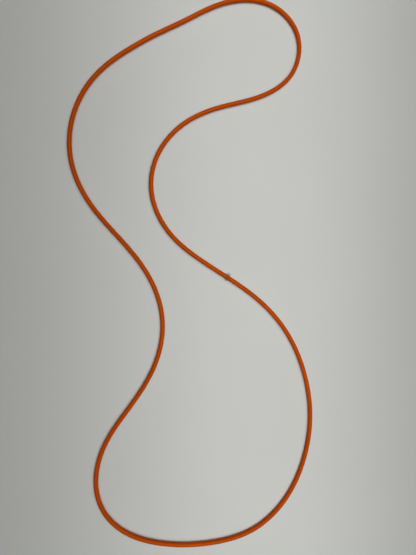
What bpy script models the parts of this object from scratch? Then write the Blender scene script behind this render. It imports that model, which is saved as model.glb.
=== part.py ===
"""Endless round drive belt: one length of solid urethane cord, butt-welded into a loop.

Units are metres, with +Z up. The belt lies loose on the plane z = 0, and the origin is under the middle
of the loop's outline. Seen from above, the route starts at the weld and runs clockwise.
"""

import math

import bmesh
import bpy
import numpy as np
from mathutils import Matrix

# Cord
BELT_LENGTH = 2.195
CORD_DIAMETER = 0.00635
CORD_BEVEL_RESOLUTION = 4
RING_SPACING = 0.012

# Weld: a fused band between the cord's ends, with squeezed-out flash left on its two sides
SEAM_LENGTH = 0.0012
OUTER_FIN_LENGTH = 0.0045
INNER_FIN_LENGTH = 0.0028
OUTER_FIN_REACH = 0.0032
INNER_FIN_REACH = 0.0016
FIN_HEIGHT = 0.0036
FIN_ARC_POINTS = 9
JOINT_GAP = 0.0003
SHARP_ANGLE = math.radians(40)

# How the belt lies: the cord's centre line seen from above, drawn to the belt's length
ROUTE = [
    (0.0465, -0.0115),
    (0.0915, -0.0435),
    (0.1340, -0.0910),
    (0.1605, -0.1490),
    (0.1705, -0.2120),
    (0.1615, -0.2750),
    (0.1335, -0.3325),
    (0.0850, -0.3735),
    (0.0230, -0.3870),
    (-0.0410, -0.3825),
    (-0.0995, -0.3590),
    (-0.1220, -0.3360),
    (-0.1340, -0.3065),
    (-0.1255, -0.2435),
    (-0.0910, -0.1905),
    (-0.0575, -0.1360),
    (-0.0455, -0.0740),
    (-0.0630, -0.0130),
    (-0.1010, 0.0385),
    (-0.1425, 0.0875),
    (-0.1680, 0.1455),
    (-0.1650, 0.2085),
    (-0.1345, 0.2650),
    (-0.0860, 0.3060),
    (-0.0590, 0.3235),
    (-0.0125, 0.3500),
    (0.0235, 0.3710),
    (0.0730, 0.3870),
    (0.1085, 0.3840),
    (0.1320, 0.3710),
    (0.1505, 0.3450),
    (0.1530, 0.3135),
    (0.1410, 0.2840),
    (0.0895, 0.2475),
    (0.0290, 0.2280),
    (-0.0260, 0.1955),
    (-0.0585, 0.1410),
    (-0.0610, 0.1100),
    (-0.0365, 0.0515),
    (0.0120, 0.0105),
]
FINE_STEP = 0.0005

# Colours, as linear red, green and blue
CORD_COLOUR = (0.56, 0.085, 0.003)
SEAM_COLOUR = (0.44, 0.062, 0.004)
FLASH_COLOUR = (0.40, 0.34, 0.26)
URETHANE_ROUGHNESS = 0.42
FLASH_ROUGHNESS = 0.30

# The cord's section has a flat facet above, below and on each side
CORD_SIDES = 4 + 2 * CORD_BEVEL_RESOLUTION
CORNER_RADIUS = CORD_DIAMETER / 2 / math.cos(math.pi / CORD_SIDES)
FACET_TURN = math.pi / CORD_SIDES


def clear_scene():
    for item in list(bpy.data.objects):
        bpy.data.objects.remove(item)


def smooth_loop(points):
    """Fine points along a closed curve through the route, even in slope and in bend."""
    count = len(points)
    following = np.roll(points, -1, axis=0)
    spans = np.linalg.norm(following - points, axis=1)
    slopes = (following - points) / spans[:, None]
    bends = np.zeros((count, count))
    for this in range(count):
        before = this - 1
        after = (this + 1) % count
        bends[this, before] = spans[before]
        bends[this, this] = 2 * (spans[before] + spans[this])
        bends[this, after] = spans[this]
    second = np.linalg.solve(bends, 6 * (slopes - np.roll(slopes, 1, axis=0)))
    stretches = []
    for this in range(count):
        after = (this + 1) % count
        steps = math.ceil(spans[this] / FINE_STEP)
        ahead = np.linspace(0, 1, steps, endpoint=False)[:, None]
        back = 1 - ahead
        straight = back * points[this] + ahead * points[after]
        bow = (back**3 - back) * second[this] + (ahead**3 - ahead) * second[after]
        stretches.append(straight + bow * spans[this] ** 2 / 6)
    return np.concatenate(stretches)


def distances(closed):
    """How far along a line of points each of them is."""
    return np.concatenate([[0], np.cumsum(np.linalg.norm(np.diff(closed, axis=0), axis=1))])


def belt_line():
    """The loop that the belt lies in, as long as the belt, with its outline's middle over the origin."""
    loop = smooth_loop(np.array(ROUTE))
    loop *= BELT_LENGTH / distances(np.vstack([loop, loop[:1]]))[-1]
    return loop - (loop.min(axis=0) + loop.max(axis=0)) / 2


def evenly_spaced(loop, end_space, spacing):
    """Points along the loop at about the given spacing, from one side of the weld round to the other."""
    closed = np.vstack([loop, loop[:1]])
    distance = distances(closed)
    runs = round((distance[-1] - 2 * end_space) / spacing)
    wanted = np.linspace(end_space, distance[-1] - end_space, runs + 1)
    return np.stack([np.interp(wanted, distance, closed[:, axis]) for axis in range(2)], axis=1)


def urethane(name, colour, roughness):
    material = bpy.data.materials.new(name)
    material.use_nodes = True
    shader = material.node_tree.nodes["Principled BSDF"]
    shader.inputs["Base Color"].default_value = (*colour, 1)
    shader.inputs["Roughness"].default_value = roughness
    shader.inputs["Metallic"].default_value = 0
    return material


def add_object(name, data, collection):
    item = bpy.data.objects.new(name, data)
    collection.objects.link(item)
    return item


def make_cord(rings, material, collection):
    """The cord: a tube round the whole loop, with its two ends facing each other across the weld."""
    curve = bpy.data.curves.new("belt_cord", "CURVE")
    curve.dimensions = "3D"
    curve.twist_mode = "Z_UP"
    curve.bevel_depth = CORNER_RADIUS
    curve.bevel_resolution = CORD_BEVEL_RESOLUTION
    curve.use_fill_caps = True
    spline = curve.splines.new("POLY")
    spline.points.add(len(rings) - 1)
    for point, (x, y) in zip(spline.points, rings):
        point.co = (x, y, CORD_DIAMETER / 2, 1)
        point.tilt = FACET_TURN
    spline.use_smooth = True
    curve.materials.append(material)
    add_object("belt_cord", curve, collection)


def make_weld_frame(loop, collection):
    """An empty in the middle of the weld: X along the cord, Y out of the loop and Z up."""
    along = loop[1] - loop[-1]
    frame = add_object("weld_frame", None, collection)
    frame.location = (*loop[0], CORD_DIAMETER / 2)
    frame.rotation_euler = (0, 0, math.atan2(along[1], along[0]))
    return frame


def make_seam(frame, material, collection):
    """The fused band between the two ends of the cord."""
    mesh = bpy.data.meshes.new("weld_seam")
    lie_along_cord = Matrix.Rotation(math.radians(90), 4, "Y") @ Matrix.Rotation(FACET_TURN, 4, "Z")
    shape = bmesh.new()
    bmesh.ops.create_cone(
        shape,
        cap_ends=True,
        segments=CORD_SIDES,
        radius1=CORNER_RADIUS,
        radius2=CORNER_RADIUS,
        depth=SEAM_LENGTH,
        matrix=lie_along_cord,
    )
    shape.to_mesh(mesh)
    shape.free()
    mesh.shade_smooth()
    mesh.set_sharp_from_angle(angle=SHARP_ANGLE)
    mesh.materials.append(material)
    seam = add_object("weld_seam", mesh, collection)
    seam.parent = frame


def arc(radius, half_height):
    """Points on an arc that faces +X, from half_height below its middle to half_height above it."""
    reach = math.asin(half_height / radius)
    return [
        (radius * math.cos(angle), radius * math.sin(angle))
        for angle in np.linspace(-reach, reach, FIN_ARC_POINTS)
    ]


def make_fin(name, length, reach, turn, frame, material, collection):
    """A fin of flash beside the weld, nipped off level above and below."""
    root = arc(CORNER_RADIUS + JOINT_GAP, FIN_HEIGHT / 2)
    rim = arc(CORD_DIAMETER / 2 + reach, FIN_HEIGHT / 2)
    curve = bpy.data.curves.new(name, "CURVE")
    curve.dimensions = "2D"
    curve.fill_mode = "BOTH"
    curve.extrude = length / 2
    outline = rim + root[::-1]
    spline = curve.splines.new("POLY")
    spline.points.add(len(outline) - 1)
    for point, (x, y) in zip(spline.points, outline):
        point.co = (x, y, 0, 1)
    spline.use_cyclic_u = True
    curve.materials.append(material)
    fin = add_object(name, curve, collection)
    fin.parent = frame
    fin.rotation_euler = (math.radians(90), 0, math.radians(90) + turn)


def main():
    clear_scene()
    collection = bpy.data.collections.new("round_drive_belt")
    bpy.context.scene.collection.children.link(collection)

    cord = urethane("orange_urethane", CORD_COLOUR, URETHANE_ROUGHNESS)
    fused = urethane("fused_urethane", SEAM_COLOUR, URETHANE_ROUGHNESS)
    flash = urethane("flash_urethane", FLASH_COLOUR, FLASH_ROUGHNESS)

    loop = belt_line()
    rings = evenly_spaced(loop, SEAM_LENGTH / 2 + JOINT_GAP, RING_SPACING)
    make_cord(rings, cord, collection)
    frame = make_weld_frame(loop, collection)
    make_seam(frame, fused, collection)
    make_fin("weld_flash_outer", OUTER_FIN_LENGTH, OUTER_FIN_REACH, 0, frame, flash, collection)
    make_fin("weld_flash_inner", INNER_FIN_LENGTH, INNER_FIN_REACH, math.pi, frame, flash, collection)


main()
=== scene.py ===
"""Looks of an endless round drive belt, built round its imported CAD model.

The file is laid out as an add-on and is run as a script. It makes the satin urethane cord, the bead where
the cord's two ends were fused and the two ears of flash beside the bead, and sets them on a plain stage.
Units are metres, in the CAD model's own frame: +Z is up and the belt lies on z = 0.
"""

import math

import bmesh
import bpy
import numpy as np
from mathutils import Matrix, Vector


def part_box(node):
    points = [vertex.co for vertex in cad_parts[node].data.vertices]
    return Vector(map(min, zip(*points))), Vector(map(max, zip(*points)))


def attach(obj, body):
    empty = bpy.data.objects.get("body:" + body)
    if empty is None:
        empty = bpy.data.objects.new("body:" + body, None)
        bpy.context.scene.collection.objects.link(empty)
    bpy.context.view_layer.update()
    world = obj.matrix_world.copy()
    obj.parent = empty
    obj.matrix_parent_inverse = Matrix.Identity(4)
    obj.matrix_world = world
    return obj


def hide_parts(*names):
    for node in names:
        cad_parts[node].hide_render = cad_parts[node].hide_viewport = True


bl_info = {
    "name": "Round Drive Belt",
    "version": (1, 0, 0),
    "blender": (4, 5, 0),
    "location": "View3D > Sidebar > Drive Belt",
    "description": "Dresses a packed round drive belt: cord, butt weld, flash and a plain stage",
    "category": "Object",
}

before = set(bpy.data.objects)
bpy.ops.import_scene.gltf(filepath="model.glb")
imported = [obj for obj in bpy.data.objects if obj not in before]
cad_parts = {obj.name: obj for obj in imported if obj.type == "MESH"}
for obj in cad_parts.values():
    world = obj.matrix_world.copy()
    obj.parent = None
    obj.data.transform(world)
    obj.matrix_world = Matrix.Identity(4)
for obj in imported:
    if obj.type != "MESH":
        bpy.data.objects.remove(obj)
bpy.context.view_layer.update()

# How the belt lies: the cord's centre line seen from above, clockwise from the weld, as in the CAD model
ROUTE = [
    (0.0465, -0.0115),
    (0.0915, -0.0435),
    (0.1340, -0.0910),
    (0.1605, -0.1490),
    (0.1705, -0.2120),
    (0.1615, -0.2750),
    (0.1335, -0.3325),
    (0.0850, -0.3735),
    (0.0230, -0.3870),
    (-0.0410, -0.3825),
    (-0.0995, -0.3590),
    (-0.1220, -0.3360),
    (-0.1340, -0.3065),
    (-0.1255, -0.2435),
    (-0.0910, -0.1905),
    (-0.0575, -0.1360),
    (-0.0455, -0.0740),
    (-0.0630, -0.0130),
    (-0.1010, 0.0385),
    (-0.1425, 0.0875),
    (-0.1680, 0.1455),
    (-0.1650, 0.2085),
    (-0.1345, 0.2650),
    (-0.0860, 0.3060),
    (-0.0590, 0.3235),
    (-0.0125, 0.3500),
    (0.0235, 0.3710),
    (0.0730, 0.3870),
    (0.1085, 0.3840),
    (0.1320, 0.3710),
    (0.1505, 0.3450),
    (0.1530, 0.3135),
    (0.1410, 0.2840),
    (0.0895, 0.2475),
    (0.0290, 0.2280),
    (-0.0260, 0.1955),
    (-0.0585, 0.1410),
    (-0.0610, 0.1100),
    (-0.0365, 0.0515),
    (0.0120, 0.0105),
]
BELT_LENGTH = 2.195
ROUTE_STEP = 0.0005

# Section of an ear of flash seen from above: along the cord in half lengths, and out from it in reaches
EAR_OUTLINE = [
    (0.36, -0.15),
    (0.31, 0.22),
    (0.52, 0.42),
    (0.86, 0.40),
    (1.00, 0.62),
    (0.85, 0.89),
    (0.50, 1.00),
    (0.19, 0.90),
    (0.00, 0.68),
    (-0.21, 0.87),
    (-0.52, 0.96),
    (-0.86, 0.83),
    (-0.98, 0.57),
    (-0.82, 0.35),
    (-0.50, 0.39),
    (-0.30, 0.20),
    (-0.36, -0.15),
]
EAR_OUTLINE_STEP = 0.07

# How far out from the cord, in reaches, an ear keeps some of the cord's orange
EAR_ROOT = 0.30

# How dark the ears are at the root and at the rim: scorch on the outer ear, and scorch together with painted
# shade from the belt's shadow side on the inner ear
OUTER_SCORCH = (0.08, 0.23)
INNER_SCORCH_AND_SHADE = (1.10, 0.30)
# Painted shade: how much darker the ears get towards one end along the cord
SHADE_DRIFT_ALONG = 0.20

# Heights of an ear's rings, in half heights, with how full its section is there
EAR_LEVELS = [
    (-1.00, 0.72),
    (-0.97, 0.88),
    (-0.90, 0.97),
    (-0.75, 1.00),
    (-0.50, 1.00),
    (-0.25, 1.00),
    (0.00, 1.00),
    (0.25, 1.00),
    (0.50, 1.00),
    (0.75, 1.00),
    (0.90, 0.97),
    (0.97, 0.88),
    (1.00, 0.72),
]

# How far an ear's rim and its length waver from one height to another
EAR_RIM_WAVER = 0.08
EAR_LENGTH_WAVER = 0.06

# The bead: its mesh, the width of its lips, and how deep it lies in the cord, with what its ends add to that
BEAD_RINGS = 41
BEAD_SIDES = 72
LIP_WIDTH = 0.00032
BEAD_SINK = 0.00002
BEAD_END_SINK = 0.00030

# How uneven the bead's lips are round the cord: amount, number of waves and phase
LIP_WAVES = [(0.22, 3, 1.1), (0.14, 7, 2.3)]

# How much of the crease's depth is left on top of the bead
CREASE_ON_TOP = 0.6

# What all of the urethane's shaders have in common, with orange highlights
URETHANE_BODY = {
    "Specular IOR Level": 0.5,
    "Specular Tint": (1.0, 0.50, 0.03),
    "Subsurface Weight": 0.10,
    "Subsurface Radius": (1.0, 0.25, 0.05),
    "Subsurface Scale": 0.0010,
}
DUST_COLOUR = (0.62, 0.50, 0.38)

# Stage
FLOOR_SIDES = 96
STRIP_PLACE = (0.10, 0, 0.65)
STRIP_SIZE = (0.30, 1.70)
SENSOR_LENGTH = 36
NEAREST_SEEN = 0.01
UP = Vector((0, 0, 1))


def smooth_loop(points, step):
    """Fine points along a closed curve through the given ones, even in slope and in bend."""
    count = len(points)
    following = np.roll(points, -1, axis=0)
    spans = np.linalg.norm(following - points, axis=1)
    slopes = (following - points) / spans[:, None]
    bends = np.zeros((count, count))
    for this in range(count):
        before = this - 1
        after = (this + 1) % count
        bends[this, before] = spans[before]
        bends[this, this] = 2 * (spans[before] + spans[this])
        bends[this, after] = spans[this]
    second = np.linalg.solve(bends, 6 * (slopes - np.roll(slopes, 1, axis=0)))
    stretches = []
    for this in range(count):
        after = (this + 1) % count
        steps = math.ceil(spans[this] / step)
        ahead = np.linspace(0, 1, steps, endpoint=False)[:, None]
        back = 1 - ahead
        straight = back * points[this] + ahead * points[after]
        bow = (back**3 - back) * second[this] + (ahead**3 - ahead) * second[after]
        stretches.append(straight + bow * spans[this] ** 2 / 6)
    return np.concatenate(stretches)


def distances(line):
    """How far along a line of points each of them is."""
    return np.concatenate([[0], np.cumsum(np.linalg.norm(np.diff(line, axis=0), axis=1))])


def belt_line(length):
    """The loop that the belt lies in, as long as the belt, with its outline's middle over the origin."""
    loop = smooth_loop(np.array(ROUTE), ROUTE_STEP)
    loop *= length / distances(np.vstack([loop, loop[:1]]))[-1]
    return loop - (loop.min(axis=0) + loop.max(axis=0)) / 2


def evenly_spaced(loop, end_space, spacing):
    """Points along the loop at about the given spacing, from one side of the weld round to the other."""
    closed = np.vstack([loop, loop[:1]])
    distance = distances(closed)
    runs = round((distance[-1] - 2 * end_space) / spacing)
    wanted = np.linspace(end_space, distance[-1] - end_space, runs + 1)
    return np.stack([np.interp(wanted, distance, closed[:, axis]) for axis in range(2)], axis=1)


def weld_axes(loop):
    """Unit vectors at the weld: along the cord, and out of the loop."""
    along = Vector((*(loop[1] - loop[-1]), 0)).normalized()
    return along, UP.cross(along)


def middle(box):
    low, high = box
    return (low + high) / 2


def height(box):
    low, high = box
    return high.z - low.z


def span_from_weld(node, axis):
    """How far a CAD node reaches from the weld's centre, back and forward along an axis."""
    steps = [(vertex.co - WELD_CENTRE).dot(axis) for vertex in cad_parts[node].data.vertices]
    return min(steps), max(steps)


# Sizes and places that the CAD model fixes
CORD_DIAMETER = height(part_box("belt_cord"))
WELD_CENTRE = middle(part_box("weld_seam"))
FLASH_HEIGHT = height(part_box("weld_flash_outer"))
ALONG, OUTWARD = weld_axes(belt_line(BELT_LENGTH))
OUTER_SPAN = span_from_weld("weld_flash_outer", ALONG)
INNER_SPAN = span_from_weld("weld_flash_inner", ALONG)
OUTER_REACH = span_from_weld("weld_flash_outer", OUTWARD)[1] - CORD_DIAMETER / 2
INNER_REACH = span_from_weld("weld_flash_inner", -OUTWARD)[1] - CORD_DIAMETER / 2


class CordSettings(bpy.types.PropertyGroup):
    """Sizes and finish of the cord."""

    belt_length: bpy.props.FloatProperty(
        name="Belt Length",
        description="Length of the cord's centre line round the whole loop",
        default=BELT_LENGTH,
        min=0.5,
        unit="LENGTH",
    )
    diameter: bpy.props.FloatProperty(
        name="Diameter",
        description="Thickness of the round cord",
        default=CORD_DIAMETER,
        min=0.001,
        unit="LENGTH",
    )
    ring_spacing: bpy.props.FloatProperty(
        name="Ring Spacing",
        description="Distance between rings of the cord's mesh",
        default=0.0025,
        min=0.0005,
        unit="LENGTH",
    )
    sides: bpy.props.IntProperty(
        name="Sides",
        description="Number of faces round the cord",
        default=40,
        min=8,
    )
    end_space: bpy.props.FloatProperty(
        name="End Space",
        description="Distance from each end of the cord to the middle of the weld",
        default=0.0008,
        min=0,
        unit="LENGTH",
    )
    heat_reach: bpy.props.FloatProperty(
        name="Heat Reach",
        description="How far along the cord the weld's heat has marked it",
        default=0.006,
        min=0.0005,
        unit="LENGTH",
    )
    swell: bpy.props.FloatProperty(
        name="Weld Swell",
        description="How much wider the cord is beside the weld",
        default=0.05,
        min=0,
        subtype="FACTOR",
    )
    colour: bpy.props.FloatVectorProperty(
        name="Colour",
        description="Colour of the urethane",
        default=(0.53, 0.058, 0.0),
        min=0,
        max=1,
        subtype="COLOR",
    )
    roughness: bpy.props.FloatProperty(
        name="Roughness",
        description="How satin the urethane is",
        default=0.45,
        min=0,
        max=1,
        subtype="FACTOR",
    )


class WeldSettings(bpy.types.PropertyGroup):
    """Sizes and finish of the bead where the cord's ends were fused."""

    length: bpy.props.FloatProperty(
        name="Length",
        description="Length of the bead along the cord",
        default=0.0030,
        min=0.001,
        unit="LENGTH",
    )
    lip_rise: bpy.props.FloatProperty(
        name="Lip Rise",
        description="How far the bead's two lips stand out at the sides",
        default=0.00035,
        min=0,
        unit="LENGTH",
    )
    lip_offset: bpy.props.FloatProperty(
        name="Lip Offset",
        description="Distance of each lip from the middle of the weld",
        default=0.00058,
        min=0,
        unit="LENGTH",
    )
    crease_depth: bpy.props.FloatProperty(
        name="Crease Depth",
        description="Depth of the crease between the lips",
        default=0.00030,
        min=0,
        unit="LENGTH",
    )
    crease_width: bpy.props.FloatProperty(
        name="Crease Width",
        description="Width of the crease between the lips",
        default=0.00022,
        min=0.00005,
        unit="LENGTH",
    )
    colour: bpy.props.FloatVectorProperty(
        name="Colour",
        description="Colour of the remelted urethane",
        default=(0.44, 0.045, 0.0),
        min=0,
        max=1,
        subtype="COLOR",
    )


class FlashSettings(bpy.types.PropertyGroup):
    """Sizes and finish of the ears of flash beside the weld."""

    outer_reach: bpy.props.FloatProperty(
        name="Outer Reach",
        description="How far the outer ear stands out from the cord",
        default=OUTER_REACH,
        min=0.0002,
        unit="LENGTH",
    )
    outer_length: bpy.props.FloatProperty(
        name="Outer Length",
        description="Length of the outer ear along the cord",
        default=OUTER_SPAN[1] - OUTER_SPAN[0],
        min=0.0005,
        unit="LENGTH",
    )
    inner_reach: bpy.props.FloatProperty(
        name="Inner Reach",
        description="How far the inner ear stands out from the cord",
        default=INNER_REACH,
        min=0.0002,
        unit="LENGTH",
    )
    inner_length: bpy.props.FloatProperty(
        name="Inner Length",
        description="Length of the inner ear along the cord",
        default=INNER_SPAN[1] - INNER_SPAN[0],
        min=0.0005,
        unit="LENGTH",
    )
    height: bpy.props.FloatProperty(
        name="Height",
        description="Height of the ears between the level cuts above and below",
        default=FLASH_HEIGHT,
        min=0.0005,
        unit="LENGTH",
    )
    root_depth: bpy.props.FloatProperty(
        name="Root Depth",
        description="How far the ears' roots go into the cord",
        default=0.0003,
        min=0,
        unit="LENGTH",
    )
    clear_colour: bpy.props.FloatVectorProperty(
        name="Clear Colour",
        description="Colour of the thin, part clear flash",
        default=(0.76, 0.73, 0.67),
        min=0,
        max=1,
        subtype="COLOR",
    )
    # This dark colour is scorch, and it is also used as painted shade on the inner ear and towards one end
    # of each ear
    burnt_and_shade_colour: bpy.props.FloatVectorProperty(
        name="Burnt Colour",
        description="Colour of the flash where it was scorched",
        default=(0.055, 0.038, 0.024),
        min=0,
        max=1,
        subtype="COLOR",
    )


class StageSettings(bpy.types.PropertyGroup):
    """Floor, light and camera."""

    floor_radius: bpy.props.FloatProperty(
        name="Floor Radius",
        description="Radius of the round floor",
        default=12,
        min=1,
        unit="LENGTH",
    )
    floor_colour: bpy.props.FloatVectorProperty(
        name="Floor Colour",
        description="Colour of the plain floor",
        default=(0.698, 0.707, 0.672),
        min=0,
        max=1,
        subtype="COLOR",
    )
    overhead: bpy.props.FloatProperty(
        name="Overhead",
        description="Strength of the wide soft light overhead",
        default=1.16,
        min=0,
    )
    overhead_spread: bpy.props.FloatProperty(
        name="Overhead Spread",
        description="How wide the light overhead looks from the floor",
        default=math.radians(80),
        subtype="ANGLE",
    )
    overhead_lean: bpy.props.FloatProperty(
        name="Overhead Lean",
        description="How far the light overhead is from straight above",
        default=math.radians(8),
        subtype="ANGLE",
    )
    overhead_heading: bpy.props.FloatProperty(
        name="Overhead Heading",
        description="Which way the light overhead leans, from +X towards +Y",
        default=0,
        subtype="ANGLE",
    )
    strip: bpy.props.FloatProperty(
        name="Strip",
        description="Power of the long soft lamp over the right of the belt",
        default=1.0,
        min=0,
        unit="POWER",
    )
    strip_spread: bpy.props.FloatProperty(
        name="Strip Spread",
        description="Angle that the long lamp's light is kept within",
        default=math.radians(70),
        max=math.pi,
        subtype="ANGLE",
    )
    ambient: bpy.props.FloatProperty(
        name="Ambient",
        description="Strength of the even light from all round",
        default=0.03,
        min=0,
    )
    backdrop_colour: bpy.props.FloatVectorProperty(
        name="Backdrop Colour",
        description="Colour seen past the edge of the floor",
        default=(0.250, 0.254, 0.242),
        min=0,
        max=1,
        subtype="COLOR",
    )
    camera_place: bpy.props.FloatVectorProperty(
        name="Camera Place",
        description="Where the camera is",
        default=(-0.07159, -0.01161, 0.5847),
        subtype="TRANSLATION",
    )
    camera_lean: bpy.props.FloatProperty(
        name="Camera Lean",
        description="How far the camera is turned from straight down towards +X",
        default=math.radians(8.8),
        subtype="ANGLE",
    )
    lens: bpy.props.FloatProperty(
        name="Lens",
        description="Focal length, with a sensor 36 mm along the picture's longer side",
        default=26.98,
        min=1,
        unit="CAMERA",
    )


class DriveBeltSettings(bpy.types.PropertyGroup):
    """All of the belt's settings."""

    cord: bpy.props.PointerProperty(type=CordSettings)
    weld: bpy.props.PointerProperty(type=WeldSettings)
    flash: bpy.props.PointerProperty(type=FlashSettings)
    stage: bpy.props.PointerProperty(type=StageSettings)


def operator_pair(operation):
    """Two methods for one of Python's operators, usual and reflected, that add a Math node."""

    def usual(wire, other):
        return wire.graph.maths(operation, wire, other)

    def reflected(wire, other):
        return wire.graph.maths(operation, other, wire)

    return usual, reflected


class Wire:
    """An output of a node. Arithmetic on it adds Math nodes."""

    def __init__(self, graph, socket):
        self.graph = graph
        self.socket = socket

    __add__, __radd__ = operator_pair("ADD")
    __sub__, __rsub__ = operator_pair("SUBTRACT")
    __mul__, __rmul__ = operator_pair("MULTIPLY")
    __truediv__, __rtruediv__ = operator_pair("DIVIDE")
    __pow__, __rpow__ = operator_pair("POWER")

    def sibling(self, name):
        """Another output of the same node."""
        return Wire(self.graph, find_socket(self.socket.node.outputs, name))


def find_socket(sockets, name):
    """The socket with that identifier, or else with that name."""
    for socket in sockets:
        if socket.identifier == name:
            return socket
    return sockets[name]


class Graph:
    """A node tree that is written as Python expressions."""

    def __init__(self, tree):
        self.tree = tree

    def node(self, kind, settings=None, inputs=None, output=None):
        """Adds a node, sets its settings and then its sockets, and gives an output of it."""
        made = self.tree.nodes.new(kind)
        for name, value in (settings or {}).items():
            setattr(made, name, value)
        self.connect(made, inputs or {})
        if output is not None:
            return Wire(self, find_socket(made.outputs, output))
        shown = [socket for socket in made.outputs if socket.enabled]
        return Wire(self, shown[0]) if shown else None

    def connect(self, node, inputs):
        """Sets or links a node's sockets."""
        for name, value in inputs.items():
            socket = find_socket(node.inputs, name)
            if isinstance(value, Wire):
                self.tree.links.new(value.socket, socket)
            elif socket.type == "RGBA":
                socket.default_value = (*value, 1)
            else:
                socket.default_value = value

    def maths(self, operation, first, second):
        return self.node("ShaderNodeMath", {"operation": operation}, {"Value": first, "Value_001": second})

    def vector_maths(self, operation, first, second):
        sockets = {"Vector": first, "Vector_001": second}
        return self.node("ShaderNodeVectorMath", {"operation": operation}, sockets)

    def scaled(self, vector, amount):
        return self.node("ShaderNodeVectorMath", {"operation": "SCALE"}, {"Vector": vector, "Scale": amount})

    def attribute(self, name, output):
        return self.node("ShaderNodeAttribute", {"attribute_name": name}, output=output)

    def noise(self, place, scales, detail):
        """Noise from 0 to 1 with its own number of cells a metre along each axis."""
        stretched = self.vector_maths("MULTIPLY", place, scales)
        return self.node("ShaderNodeTexNoise", {}, {"Vector": stretched, "Scale": 1, "Detail": detail})

    def rise(self, value, low, high):
        """A smooth step from 0 at low to 1 at high."""
        return self.node(
            "ShaderNodeMapRange",
            {"interpolation_type": "SMOOTHSTEP"},
            {"Value": value, "From Min": low, "From Max": high},
        )

    def blend(self, amount, first, second):
        """A colour between two others."""
        return self.node(
            "ShaderNodeMix",
            {"data_type": "RGBA"},
            {"Factor_Float": amount, "A_Color": first, "B_Color": second},
            "Result_Color",
        )

    def bump(self, relief, depth):
        """The surface's normal with a relief that is so deep."""
        return self.node("ShaderNodeBump", {}, {"Height": relief, "Distance": depth})

    def surface(self, inputs):
        """Sets or links the sockets of the material's shader."""
        self.connect(self.tree.nodes["Principled BSDF"], inputs)


def new_finish(name):
    """A new material and the graph of its nodes."""
    material = bpy.data.materials.new(name)
    material.use_nodes = True
    return material, Graph(material.node_tree)


def shade(colour, amount):
    """A colour made darker or lighter."""
    return tuple(min(1, channel * amount) for channel in colour)


def cord_finish(cord):
    """Extruded urethane: softly clouded, with faint die lines, a satin grain and a little dust on top, and
    darker and glossier where the weld's heat reached."""
    material, graph = new_finish("satin_orange_urethane")
    place = graph.attribute("cord_place", "Vector")
    heat = graph.attribute("weld_heat", "Fac")
    level = graph.node("ShaderNodeSeparateXYZ", {}, {"Vector": place}, "Z")
    clouds = graph.noise(place, (16, 170, 170), 3)
    die_lines = graph.noise(place, (4, 2400, 2400), 2)
    scuffs = graph.noise(place, (70, 520, 520), 4)
    grain = graph.noise(place, (3600, 3600, 3600), 2)
    specks = graph.noise(place, (2600, 2800, 2800), 0)

    dust = graph.rise(specks, 0.74, 0.80) * graph.rise(level, 0, cord.diameter / 3)
    mottle = graph.rise(clouds * 0.7 + die_lines * 0.3, 0.34, 0.66)
    tone = graph.blend(mottle, shade(cord.colour, 0.90), shade(cord.colour, 1.08))
    tone = graph.blend(heat * 0.45, tone, shade(cord.colour, 0.62))
    tone = graph.blend(dust * 0.15, tone, DUST_COLOUR)
    relief = die_lines * 0.45 + grain * 0.35 + scuffs * 0.20
    graph.surface(
        {
            "Base Color": tone,
            "Roughness": cord.roughness + (scuffs - 0.5) * 0.20 + dust * 0.20 - heat * 0.12,
            "Normal": graph.bump(relief, 0.00004),
            **URETHANE_BODY,
        }
    )
    return material


def bead_finish(weld):
    """Remelted urethane: glossier and a little darker than the cord, with painted shade that makes it nearly
    black down in the crease.
    """
    material, graph = new_finish("fused_orange_urethane")
    place = graph.node("ShaderNodeTexCoord", output="Object")
    crease = graph.attribute("crease", "Fac")
    flow = graph.noise(place, (900, 900, 900), 3)
    ripples = graph.noise(place, (3200, 3200, 3200), 2)

    tone = graph.blend(graph.rise(flow, 0.32, 0.68), shade(weld.colour, 0.80), shade(weld.colour, 1.10))
    # Painted shade: the tone goes nearly black down in the crease between the lips, where shade falls
    tone = graph.blend(crease * 0.85, tone, shade(weld.colour, 0.18))
    graph.surface(
        {
            "Base Color": tone,
            "Roughness": 0.30 + flow * 0.12 + crease * 0.25,
            "Normal": graph.bump(flow * 0.6 + ripples * 0.4, 0.00006),
            **URETHANE_BODY,
        }
    )
    return material


def flash_finish(flash, weld):
    """Thin overheated urethane: orange at the root, then smoky and part clear, and brown where scorched; the
    same brown is also painted shade on the inner ear and towards one end of each ear along the cord.
    """
    material, graph = new_finish("smoky_urethane_flash")
    place = graph.node("ShaderNodeTexCoord", output="Object")
    scorch_and_shade = graph.attribute("scorch_and_shade", "Fac")
    root = graph.attribute("root", "Fac")
    smoke = graph.noise(place, (1400, 1400, 1400), 3)
    ripples = graph.noise(place, (4200, 4200, 2600), 2)

    # Mask of scorch together with painted shade: it darkens the inner ear, which lies on the belt's shadow
    # side, and one end of each ear
    burnt_and_shaded = graph.rise(scorch_and_shade + (smoke - 0.5) * 0.6, 0.05, 0.95)
    tone = graph.blend(burnt_and_shaded, flash.clear_colour, flash.burnt_and_shade_colour)
    graph.surface(
        {
            "Base Color": graph.blend(root * (1 - burnt_and_shaded), tone, weld.colour),
            "Roughness": 0.36 + smoke * 0.20 + burnt_and_shaded * 0.10,
            "Normal": graph.bump(smoke * 0.5 + ripples * 0.5, 0.00006),
            "Specular IOR Level": 0.40,
            "Transmission Weight": 0.60,
            "IOR": 1.50,
        }
    )
    return material


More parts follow.
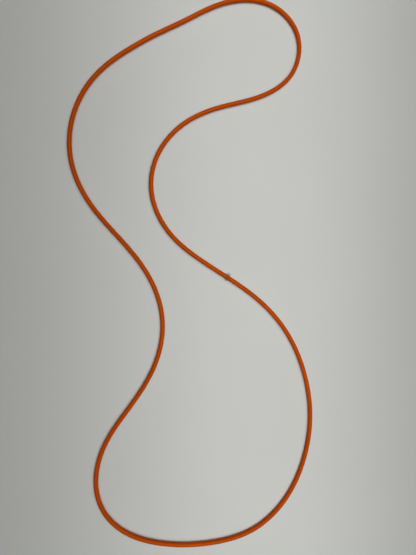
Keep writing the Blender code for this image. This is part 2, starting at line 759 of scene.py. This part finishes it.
def floor_finish(stage):
    """A plain matt board with the faintest grain."""
    material, graph = new_finish("pale_floor")
    place = graph.node("ShaderNodeTexCoord", output="Object")
    grain = graph.noise(place, (420, 420, 420), 3)
    drift = graph.noise(place, (7, 7, 7), 2)
    colour = stage.floor_colour
    tone = graph.blend(grain * 0.5 + drift * 0.5, shade(colour, 0.96), shade(colour, 1.04))
    graph.surface(
        {
            "Base Color": tone,
            "Roughness": 0.55 + grain * 0.15,
            "Normal": graph.bump(grain, 0.00005),
            "Specular IOR Level": 0.30,
        }
    )
    return material


def add_object(name, data):
    item = bpy.data.objects.new(name, data)
    bpy.context.scene.collection.objects.link(item)
    return item


def add_piece(name, mesh, node):
    """A piece of the belt that stands for a CAD node: hung on the root body, with that node hidden."""
    piece = add_object(name, mesh)
    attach(piece, "root")
    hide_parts(node)


def cord_rings(cord):
    """Centres of the cord's rings, from one side of the weld round to the other."""
    flat = evenly_spaced(belt_line(cord.belt_length), cord.end_space, cord.ring_spacing)
    return np.hstack([flat, np.full((len(flat), 1), cord.diameter / 2)])


def cord_tree():
    """A node tree that sweeps a round section along a route and marks each point's place on the cord, with
    the identifiers of its inputs."""
    tree = bpy.data.node_groups.new("sweep_cord", "GeometryNodeTree")
    kinds = {
        "Route": "NodeSocketGeometry",
        "Radius": "NodeSocketFloat",
        "Sides": "NodeSocketInt",
        "Heat Reach": "NodeSocketFloat",
        "Swell": "NodeSocketFloat",
        "Finish": "NodeSocketMaterial",
    }
    identifiers = {}
    for name, kind in kinds.items():
        identifiers[name] = tree.interface.new_socket(name, in_out="INPUT", socket_type=kind).identifier
    tree.interface.new_socket("Cord", in_out="OUTPUT", socket_type="NodeSocketGeometry")
    graph = Graph(tree)

    def mark(shape, name, kind, value):
        return graph.node(
            "GeometryNodeStoreNamedAttribute",
            {"data_type": kind, "domain": "POINT"},
            {"Geometry": shape, "Name": name, "Value": value},
        )

    def marked(name, kind):
        settings = {"data_type": kind}
        return graph.node("GeometryNodeInputNamedAttribute", settings, {"Name": name}, "Attribute")

    route = graph.node("NodeGroupInput", output="Route")
    along = graph.node("GeometryNodeSplineParameter", output="Length")
    whole = graph.node("GeometryNodeSplineLength", output="Length")
    from_weld = graph.maths("MINIMUM", along, whole - along) / route.sibling("Heat Reach")
    line = graph.node("GeometryNodeSetCurveNormal", {"mode": "Z_UP"}, {"Curve": route})
    line = mark(line, "along", "FLOAT", along)
    line = mark(line, "weld_heat", "FLOAT", math.e ** (0 - from_weld * from_weld))
    forward = graph.node("GeometryNodeInputTangent")
    line = mark(line, "outward", "FLOAT_VECTOR", graph.vector_maths("CROSS_PRODUCT", tuple(UP), forward))

    section = graph.node(
        "GeometryNodeCurvePrimitiveCircle",
        {"mode": "RADIUS"},
        {"Resolution": route.sibling("Sides"), "Radius": route.sibling("Radius")},
    )
    # A swept section's own X points into this loop and its own Y points down
    turned = graph.vector_maths("MULTIPLY", graph.node("GeometryNodeInputPosition"), (-1, -1, 1))
    section = mark(section, "section", "FLOAT_VECTOR", turned)
    sweep = {"Curve": line, "Profile Curve": section, "Fill Caps": True}
    cord = graph.node("GeometryNodeCurveToMesh", {}, sweep)

    out = graph.node("ShaderNodeSeparateXYZ", {}, {"Vector": marked("section", "FLOAT_VECTOR")}, "X")
    wider = out * marked("weld_heat", "FLOAT") * route.sibling("Swell")
    offset = graph.scaled(marked("outward", "FLOAT_VECTOR"), wider)
    cord = graph.node("GeometryNodeSetPosition", {}, {"Geometry": cord, "Offset": offset})
    along = marked("along", "FLOAT")
    place = graph.node("ShaderNodeCombineXYZ", {}, {"X": along, "Y": out, "Z": out.sibling("Y")})
    cord = mark(cord, "cord_place", "FLOAT_VECTOR", place)
    for name in ("along", "outward", "section"):
        cord = graph.node("GeometryNodeRemoveAttribute", {}, {"Geometry": cord, "Name": name})
    cord = graph.node("GeometryNodeSetShadeSmooth", {}, {"Geometry": cord})
    cord = graph.node("GeometryNodeRealizeInstances", {}, {"Geometry": cord})
    cord = graph.node("GeometryNodeSetMaterial", {}, {"Geometry": cord, "Material": route.sibling("Finish")})
    graph.node("NodeGroupOutput", {}, {"Cord": cord})
    return tree, identifiers


def sweep_cord(cord):
    """The cord's mesh, swept along its route by geometry nodes."""
    rings = cord_rings(cord)
    curve = bpy.data.curves.new("belt_route", "CURVE")
    curve.dimensions = "3D"
    spline = curve.splines.new("POLY")
    spline.points.add(len(rings) - 1)
    for point, centre in zip(spline.points, rings):
        point.co = (*centre, 1)
    route = add_object("belt_route", curve)

    tree, identifiers = cord_tree()
    modifier = route.modifiers.new("sweep_cord", "NODES")
    modifier.node_group = tree
    values = {
        "Radius": cord.diameter / 2,
        "Sides": cord.sides,
        "Heat Reach": cord.heat_reach,
        "Swell": cord.swell,
        "Finish": cord_finish(cord),
    }
    for name, value in values.items():
        modifier[identifiers[name]] = value
    evaluated = route.evaluated_get(bpy.context.evaluated_depsgraph_get())
    mesh = bpy.data.meshes.new_from_object(evaluated)
    route.modifiers.remove(modifier)
    bpy.data.objects.remove(route)
    return mesh


def lofted(name, rings, finish):
    """A closed mesh through rings with equal numbers of points, smooth but for its two flat ends."""
    shape = bmesh.new()
    rows = [[shape.verts.new(point) for point in ring] for ring in rings]
    for lower, upper in zip(rows, rows[1:]):
        for this in range(len(lower)):
            side = shape.faces.new((lower[this - 1], lower[this], upper[this], upper[this - 1]))
            side.smooth = True
    shape.faces.new(rows[0])
    shape.faces.new(rows[-1])
    bmesh.ops.recalc_face_normals(shape, faces=shape.faces)
    mesh = bpy.data.meshes.new(name)
    shape.to_mesh(mesh)
    shape.free()
    mesh.materials.append(finish)
    return mesh


def mark_points(mesh, name, values):
    """Gives each point of a mesh a number for its finish to read."""
    mesh.attributes.new(name, "FLOAT", "POINT").data.foreach_set("value", np.ravel(values))


def placed(centre, axes, *amounts):
    """Points at so much along each axis from a centre."""
    return np.array(centre) + sum(amount[..., None] * np.array(axis) for axis, amount in zip(axes, amounts))


def bead_mesh(cord, weld):
    """A bead round the weld: two lips with a crease between them, trimmed level above and below."""
    along, outward = weld_axes(belt_line(cord.belt_length))
    half = weld.length / 2
    station = np.linspace(-half, half, BEAD_RINGS)[:, None]
    angle = np.linspace(0, 2 * math.pi, BEAD_SIDES, endpoint=False)[None, :]
    beside = np.abs(np.cos(angle)) ** 1.5
    ragged = 1 + sum(amount * np.sin(waves * angle + phase) for amount, waves, phase in LIP_WAVES)
    lips = np.exp(-(((np.abs(station) - weld.lip_offset) / LIP_WIDTH) ** 2))
    crease = np.exp(-((station / weld.crease_width) ** 2)) * np.ones_like(angle)
    sunk = BEAD_SINK + BEAD_END_SINK * (np.abs(station) / half) ** 6
    radius = cord.diameter / 2 - sunk + weld.lip_rise * lips * beside * ragged
    radius = radius - weld.crease_depth * crease * (CREASE_ON_TOP + (1 - CREASE_ON_TOP) * beside)
    rings = placed(
        WELD_CENTRE,
        (along, outward, UP),
        station * np.ones_like(angle),
        radius * np.cos(angle),
        radius * np.sin(angle),
    )
    mesh = lofted("fused_bead", rings, bead_finish(weld))
    mark_points(mesh, "crease", crease)
    return mesh


def wavering(depth, phase):
    """A factor that wavers below 1 by up to twice the depth."""
    return 1 - depth + depth * math.sin(phase)


def ear_mesh(name, cord, flash, reach, length, side, scorch_and_shade, finish):
    """An ear of flash: two lips that curl apart as they leave the cord, nipped off level above and below."""
    along, outward = weld_axes(belt_line(cord.belt_length))
    radius = cord.diameter / 2
    outline = smooth_loop(np.array(EAR_OUTLINE), EAR_OUTLINE_STEP)
    rings = []
    for level, fullness in EAR_LEVELS:
        rise = level * flash.height / 2
        root = math.sqrt(radius**2 - rise**2) - flash.root_depth
        rim_reach = reach * wavering(EAR_RIM_WAVER, 4.3 * level + 5 * reach / radius)
        rim = math.sqrt((radius + rim_reach) ** 2 - rise**2)
        spread = outline[:, 0] * fullness * wavering(EAR_LENGTH_WAVER, 3.1 * level + 1.7)
        stretch = 0.5 + (outline[:, 1] - 0.5) * fullness
        out = root + (rim - root) * stretch
        rings.append(
            placed(
                WELD_CENTRE,
                (along, outward * side, UP),
                spread * length / 2,
                out,
                np.full(len(outline), rise),
            )
        )
    mesh = lofted(name, rings, finish)
    at_root, at_rim = scorch_and_shade
    # Scorch from root to rim, with painted shade added on the inner ear and towards one end along the cord
    burn_and_shade = at_root + (at_rim - at_root) * outline[:, 1] + SHADE_DRIFT_ALONG * outline[:, 0]
    mark_points(mesh, "scorch_and_shade", np.tile(burn_and_shade, len(rings)))
    mark_points(mesh, "root", np.tile(np.clip(1 - outline[:, 1] / EAR_ROOT, 0, 1), len(rings)))
    return mesh


def declare_cord(cord):
    """Works out the centres of the cord's rings, and does nothing more with them."""
    rings = cord_rings(cord)


def make_floor(stage):
    """A wide round floor at the belt's underside."""
    shape = bmesh.new()
    bmesh.ops.create_circle(shape, cap_ends=True, segments=FLOOR_SIDES, radius=stage.floor_radius)
    mesh = bpy.data.meshes.new("floor")
    shape.to_mesh(mesh)
    shape.free()
    mesh.materials.append(floor_finish(stage))
    add_object("floor", mesh)


def make_overhead(stage):
    """A wide soft light from far above."""
    light = bpy.data.lights.new("overhead", "SUN")
    light.energy = stage.overhead
    light.angle = stage.overhead_spread
    lamp = add_object("overhead", light)
    lamp.location = (0, 0, stage.floor_radius / 2)
    lamp.rotation_euler = (0, stage.overhead_lean, stage.overhead_heading)


def make_strip(stage):
    """A long soft lamp, out of the camera's sight, over the right of the belt."""
    light = bpy.data.lights.new("strip", "AREA")
    light.shape = "RECTANGLE"
    light.size, light.size_y = STRIP_SIZE
    light.spread = stage.strip_spread
    light.energy = stage.strip
    lamp = add_object("strip", light)
    lamp.location = STRIP_PLACE
    lamp.visible_camera = False


def make_surroundings(stage):
    """A little even light from all round, with a backdrop of the far floor's tone in sight past its edge."""
    world = bpy.data.worlds.new("studio")
    world.use_nodes = True
    graph = Graph(world.node_tree)
    in_sight = graph.node("ShaderNodeLightPath", output="Is Camera Ray")
    colour = graph.blend(in_sight, (stage.ambient,) * 3, stage.backdrop_colour)
    graph.connect(world.node_tree.nodes["Background"], {"Color": colour})
    bpy.context.scene.world = world


def make_camera(stage):
    """A camera that looks down on the belt as the photo does."""
    camera = bpy.data.cameras.new("camera")
    camera.sensor_width = SENSOR_LENGTH
    camera.lens = stage.lens
    camera.clip_start = NEAREST_SEEN
    holder = add_object("camera", camera)
    holder.location = stage.camera_place
    holder.rotation_euler = (0, -stage.camera_lean, 0)
    bpy.context.scene.camera = holder


class DRIVEBELT_OT_set_stage(bpy.types.Operator):
    """Make the floor, the lights and the camera"""

    bl_idname = "drive_belt.set_stage"
    bl_label = "Set Stage"

    def execute(self, context):
        stage = context.scene.drive_belt.stage
        make_camera(stage)
        make_floor(stage)
        make_overhead(stage)
        make_strip(stage)
        make_surroundings(stage)
        context.scene.view_settings.view_transform = "Standard"
        return {"FINISHED"}


class DRIVEBELT_OT_make_cord(bpy.types.Operator):
    """Sweep the urethane cord round its route"""

    bl_idname = "drive_belt.make_cord"
    bl_label = "Make Cord"

    def execute(self, context):
        belt = context.scene.drive_belt
        add_piece("urethane_cord", sweep_cord(belt.cord), "belt_cord")
        return {"FINISHED"}


class DRIVEBELT_OT_make_bead(bpy.types.Operator):
    """Make the fused bead between the cord's ends"""

    bl_idname = "drive_belt.make_bead"
    bl_label = "Make Weld Bead"

    def execute(self, context):
        belt = context.scene.drive_belt
        add_piece("fused_bead", bead_mesh(belt.cord, belt.weld), "weld_seam")
        return {"FINISHED"}


class DRIVEBELT_OT_make_flash(bpy.types.Operator):
    """Make the two ears of flash beside the weld"""

    bl_idname = "drive_belt.make_flash"
    bl_label = "Make Flash"

    def execute(self, context):
        belt = context.scene.drive_belt
        flash = belt.flash
        finish = flash_finish(flash, belt.weld)
        for where, reach, length, side, scorch_and_shade in (
            ("outer", flash.outer_reach, flash.outer_length, 1, OUTER_SCORCH),
            # The inner ear's darkness is partly scorch and partly painted shade from the belt's shadow side
            ("inner", flash.inner_reach, flash.inner_length, -1, INNER_SCORCH_AND_SHADE),
        ):
            name = f"flash_ear_{where}"
            mesh = ear_mesh(name, belt.cord, flash, reach, length, side, scorch_and_shade, finish)
            add_piece(name, mesh, f"weld_flash_{where}")
        return {"FINISHED"}


class VIEW3D_PT_drive_belt(bpy.types.Panel):
    bl_label = "Drive Belt"
    bl_space_type = "VIEW_3D"
    bl_region_type = "UI"
    bl_category = "Drive Belt"

    def draw(self, context):
        belt = context.scene.drive_belt
        for operator, group in zip(OPERATORS, (belt.stage, belt.cord, belt.weld, belt.flash)):
            box = self.layout.box()
            for name in group.__annotations__:
                box.prop(group, name)
            box.operator(operator.bl_idname)


SETTINGS = (CordSettings, WeldSettings, FlashSettings, StageSettings, DriveBeltSettings)
OPERATORS = (DRIVEBELT_OT_set_stage, DRIVEBELT_OT_make_cord, DRIVEBELT_OT_make_bead, DRIVEBELT_OT_make_flash)
CLASSES = (*SETTINGS, *OPERATORS, VIEW3D_PT_drive_belt)


def register():
    for each in CLASSES:
        bpy.utils.register_class(each)
    bpy.types.Scene.drive_belt = bpy.props.PointerProperty(type=DriveBeltSettings)


def unregister():
    del bpy.types.Scene.drive_belt
    for each in reversed(CLASSES):
        bpy.utils.unregister_class(each)


def main():
    register()
    bpy.ops.drive_belt.set_stage()
    bpy.ops.drive_belt.make_cord()
    bpy.ops.drive_belt.make_bead()
    bpy.ops.drive_belt.make_flash()
    declare_cord(bpy.context.scene.drive_belt.cord)


if __name__ == "__main__":
    main()
